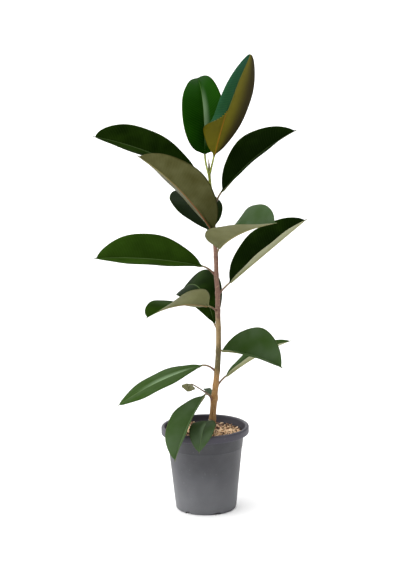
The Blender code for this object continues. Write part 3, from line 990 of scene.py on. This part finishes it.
def half_width(leaf, t):
    """Half of the blade's width at t along it: a round base, a broad middle and a drip tip."""
    body_end = 1 - leaf.drip / 2
    lean = log(0.5) / log(leaf.belly)
    body = max(sin(pi * min(t / body_end, 1.0) ** lean), 0.0) ** leaf.blunt
    if not leaf.drip or t <= 0.5:
        return leaf.width / 2 * body
    point = DRIP_HALF_WIDTH * min((1 - t) / DRIP_REACH, 1.0) ** 0.6
    return leaf.width / 2 * max(body, point)


def stalk_radius(leaf, full):
    """A stalk's radius: full, or less on a narrow leaf."""
    return full * min(1.0, 0.5 + leaf.width / FULL_STALK_WIDTH)


def half_section(leaf, t, left_half):
    """Points from the midrib to the margin of one half, as (share, sideways, upward, slope)."""
    sideways = 0.0
    upward = 0.0
    width = half_width(leaf, t)
    points = [(0.0, 0.0, 0.0, radians(leaf.fold))]
    phase = 0.0 if left_half else RIPPLE_LAG
    for k in range(HALF_COLUMNS):
        inner = (k / HALF_COLUMNS) ** COLUMN_POWER
        outer = ((k + 1) / HALF_COLUMNS) ** COLUMN_POWER
        share = (inner + outer) / 2
        slope = leaf.fold + leaf.cup * share
        if leaf.rolled_edge and not left_half:
            slope -= leaf.rolled_edge * smooth_step(*ROLL_ACROSS, share) * smooth_step(*ROLL_ALONG, t)
        slope = radians(slope)
        step = width * (outer - inner)
        sideways += step * cos(slope)
        upward += step * sin(slope)
        ripple = RIPPLE_DEPTH * outer * outer * sin(tau * RIPPLE_COUNT * t + phase)
        points.append((outer, sideways, upward + ripple * smooth_step(0.0, 0.2, t), slope))
    return points


class Blade:
    """A leaf's points by column and row: its stalk's rows first, then its blade's."""

    columns = 4 * HALF_COLUMNS
    rows = STALK_STATIONS + BLADE_STATIONS

    def __init__(self, leaf):
        self.leaf = leaf
        self.base, self.bow, self.tip, self.level = leaf_frame(leaf)
        middle, radius = stem_at(leaf.joint)
        self.outward = Vector((self.base.x - middle.x, self.base.y - middle.y, 0.0)).normalized()
        self.foot = middle + self.outward * (radius * 0.7)
        start = curve_direction(self.base, self.bow, self.tip, 0.0)
        self.knee = self.base - start * (0.5 * (self.base - self.foot).length)
        self.rings = [self.stalk_ring(row) for row in range(STALK_STATIONS)]
        self.rings += [self.blade_ring(self.along(row)) for row in range(STALK_STATIONS, self.rows + 1)]

    def along(self, row):
        """How far along the blade a row is, with rows closer together at both ends."""
        share = (row - STALK_STATIONS + 1) / (BLADE_STATIONS + 1)
        return min(0.5 * share + 0.5 * (1 - cos(pi * share)) / 2, BLADE_END)

    def stalk_ring(self, row):
        t = row / STALK_STATIONS * STALK_END
        ahead = self.outward if row == 0 else curve_direction(self.foot, self.knee, self.base, t)
        middle = curve_point(self.foot, self.knee, self.base, t)
        radius = STALK_FOOT_RADIUS + (STALK_RADIUS - STALK_FOOT_RADIUS) * min(t / STALK_TAPER, 1.0)
        radius = stalk_radius(self.leaf, radius)
        left = (self.level - ahead * self.level.dot(ahead)).normalized()
        up = ahead.cross(left)
        ring = []
        for column in range(self.columns):
            angle = tau * column / self.columns
            # A shallow channel runs along the stalk's upper side.
            channel = 1 - 0.16 * exp(-((angle - pi / 2) / 0.5) ** 2) * smooth_step(0.2, 0.7, t)
            ring.append(middle + (left * cos(angle) + up * sin(angle) * channel) * radius)
        return ring

    def blade_ring(self, t):
        leaf = self.leaf
        middle = curve_point(self.base, self.bow, self.tip, t)
        ahead = curve_direction(self.base, self.bow, self.tip, t)
        left = (self.level - ahead * self.level.dot(ahead)).normalized()
        turn = Matrix.Rotation(radians(leaf.roll + leaf.twist * t), 3, ahead)
        left = turn @ left
        up = ahead.cross(left)
        stalk = stalk_radius(leaf, STALK_RADIUS)
        rib = stalk + (MIDRIB_TIP_RADIUS - stalk) * t**0.7
        upper = []
        lower = []
        for left_half in (True, False):
            sign = 1.0 if left_half else -1.0
            rows = []
            for share, sideways, upward, slope in half_section(leaf, t, left_half):
                distance = share * half_width(leaf, t)
                thickness = LEAF_THICKNESS + (MARGIN_THICKNESS - LEAF_THICKNESS) * share
                if share == 1.0:
                    thickness = 0.0
                groove = GROOVE_DEPTH * exp(-((distance / GROOVE_WIDTH) ** 2))
                bulge = RIB_DEPTH * rib * sqrt(max(1 - (distance / (RIB_REACH * rib)) ** 2, 0.0))
                slope *= smooth_step(0.0, 0.02, share)
                out = up * cos(slope) - left * (sign * sin(slope))
                point = middle + left * (sign * sideways) + up * upward
                top = point + out * (thickness / 2 - groove)
                rows.append((top, point - out * (thickness / 2 + bulge)))
            if left_half:
                rows.reverse()
                upper += [row[0] for row in rows]
                lower += [row[1] for row in rows]
            else:
                upper += [row[0] for row in rows[1:]]
                lower += [row[1] for row in rows[1:]]
        return upper + lower[-2:0:-1]

    def point_at(self, column, row):
        return self.rings[row][column]

    def uv_at(self, column, row):
        """Across (0 at the midrib, 1 or -1 at a margin) and along (-1 to 0 on the stalk, 0 to 1 on
        the blade).
        """
        across = abs(column / HALF_COLUMNS % 2.0 - 1.0) ** COLUMN_POWER
        side = 1.0 if HALF_COLUMNS < column < 3 * HALF_COLUMNS else -1.0
        if row < STALK_STATIONS - 0.5:
            return across * side, row / STALK_STATIONS - 1.0
        return across * side, self.along(row)


def leaf_materials(settings):
    """The upper side's, the underside's and the stalk's materials of a mature and a young leaf."""
    mature = (
        leaf_upper("mature_leaf_upper", settings.mature, "#28400c", "#5c6a58",
                   "#7c9460", 0.02, 0.00002),
        leaf_under("mature_leaf_under", settings.mature_under, "#8e9068",
                   "#7c4228", "#8c8658", 0.0),
        leaf_stalk("mature_stalk", "#6b4a3c", "#7a6a44"),
    )
    young = (
        leaf_upper("young_leaf_upper", settings.young, "#143c02", "#2a4a44",
                   "#6f9850", 0.05, 0.00005),
        leaf_under("young_leaf_under", settings.young_under, "#66600a",
                   "#8e5c14", "#6e6416", 0.9),
        leaf_stalk("young_stalk", "#8f9a38", "#98a040"),
    )
    return mature, young


class PLANT_OT_add_leaves(bpy.types.Operator):
    """Add every leaf: its stalk, midrib and blade in one piece"""

    bl_idname = "plant.add_leaves"
    bl_label = "Leaves"

    def execute(self, context):
        mature, young = leaf_materials(context.scene.leaf_settings)
        for leaf in LEAVES:
            blade = Blade(leaf)
            size = (blade.columns, blade.rows)
            piece = wrapped_grid(leaf.node + "_skin", *size, blade.point_at, blade.uv_at)
            for name in ("tone", "pale", "blush", "sheen"):
                attribute = piece.data.attributes.new(name, "FLOAT", "POINT")
                attribute.data.foreach_set("value", [getattr(leaf, name)] * len(piece.data.vertices))
            slot, materials = ("young_leaf", young) if leaf.young else ("leaf", mature)
            finish_piece(piece, leaf.node, slot, *materials)
            self.colour_sides(piece, blade)
        return {"FINISHED"}

    def colour_sides(self, piece, blade):
        """Faces on the stalk, the blade's upper side and its underside take different materials."""
        places = {}
        for row, ring in enumerate(blade.rings):
            for column, point in enumerate(ring):
                places[tuple(round(value, 6) for value in point)] = (column, row)
        mesh = piece.data
        for face in mesh.polygons:
            columns = []
            rows = []
            for index in face.vertices:
                column, row = places[tuple(round(value, 6) for value in mesh.vertices[index].co)]
                columns.append(column)
                rows.append(row)
            on_stalk = min(rows) < STALK_STATIONS - 1
            on_top = max(columns) <= 2 * HALF_COLUMNS
            face.material_index = 2 if on_stalk else 0 if on_top else 1


# Stage


class PLANT_OT_add_stage(bpy.types.Operator):
    """Add the studio floor, the lights and the camera"""

    bl_idname = "plant.add_stage"
    bl_label = "Stage"

    def execute(self, context):
        settings = context.scene.stage_settings
        deselect_all()
        bpy.ops.mesh.primitive_plane_add(size=FLOOR_SIZE, location=(0.0, 0.0, -FLOOR_DROP))
        floor = bpy.context.object
        floor.name = "studio_floor"
        place_in_mesh(floor)
        floor.data.materials.append(studio_floor(settings))
        self.add_sun("key_light", settings.key, KEY_SOFTNESS, KEY_TURN)
        self.add_sun("fill_light", settings.fill, FILL_SOFTNESS, FILL_TURN)
        self.light_the_room(context.scene)
        self.add_camera(context.scene)
        return {"FINISHED"}

    def add_sun(self, name, strength, softness, turn):
        light = bpy.data.lights.new(name, "SUN")
        light.energy = strength
        light.angle = radians(softness)
        lamp = bpy.data.objects.new(name, light)
        lamp.rotation_euler = [radians(angle) for angle in turn]
        bpy.context.scene.collection.objects.link(lamp)

    def light_the_room(self, scene):
        """A dim even room, so that glossy leaves stay dark, behind a pale backdrop."""
        world = bpy.data.worlds.new("studio_room")
        world.use_nodes = True
        tree = world.node_tree
        background = tree.nodes["Background"]
        seen = add_node(tree, "LightPath").outputs["Is Camera Ray"]
        colour = mix(tree, seen, ROOM_LIGHT, BACKDROP)
        tree.links.new(colour, background.inputs["Color"])
        scene.world = world
        scene.view_settings.view_transform = "Standard"

    def add_camera(self, scene):
        camera = bpy.data.cameras.new("camera")
        camera.lens = CAMERA_LENS
        camera.sensor_width = SENSOR_WIDTH
        holder = bpy.data.objects.new("camera", camera)
        turn = Euler((radians(90.0 - CAMERA_PITCH), 0.0, radians(-CAMERA_YAW)))
        roll = Euler((0.0, 0.0, radians(CAMERA_ROLL)))
        holder.matrix_world = (
            Matrix.Translation(CAMERA_PLACE) @ turn.to_matrix().to_4x4() @ roll.to_matrix().to_4x4()
        )
        scene.collection.objects.link(holder)
        scene.camera = holder


class PLANT_PT_sidebar(bpy.types.Panel):
    bl_label = "Potted Rubber Plant"
    bl_idname = "PLANT_PT_sidebar"
    bl_space_type = "VIEW_3D"
    bl_region_type = "UI"
    bl_category = "Plant"

    def draw(self, context):
        for step in STEPS:
            self.layout.operator(step.bl_idname)
        for name, group in SETTINGS.items():
            box = self.layout.box()
            for value in group.__annotations__:
                box.prop(getattr(context.scene, name), value)


STEPS = (
    PLANT_OT_add_stage,
    PLANT_OT_add_pot,
    PLANT_OT_add_soil,
    PLANT_OT_add_chips,
    PLANT_OT_add_stem,
    PLANT_OT_add_bud,
    PLANT_OT_add_leaves,
)
SETTINGS = {
    "pot_settings": PotSettings,
    "soil_settings": SoilSettings,
    "stem_settings": StemSettings,
    "leaf_settings": LeafSettings,
    "stage_settings": StageSettings,
}
CLASSES = (*SETTINGS.values(), *STEPS, PLANT_PT_sidebar)


def register():
    for kind in CLASSES:
        bpy.utils.register_class(kind)
    for name, group in SETTINGS.items():
        setattr(bpy.types.Scene, name, PointerProperty(type=group))


def unregister():
    for name in SETTINGS:
        delattr(bpy.types.Scene, name)
    for kind in reversed(CLASSES):
        bpy.utils.unregister_class(kind)


def main():
    register()
    bpy.ops.plant.add_stage()
    bpy.ops.plant.add_pot()
    bpy.ops.plant.add_soil()
    bpy.ops.plant.add_chips()
    bpy.ops.plant.add_stem()
    bpy.ops.plant.add_bud()
    bpy.ops.plant.add_leaves()


if __name__ == "__main__":
    main()
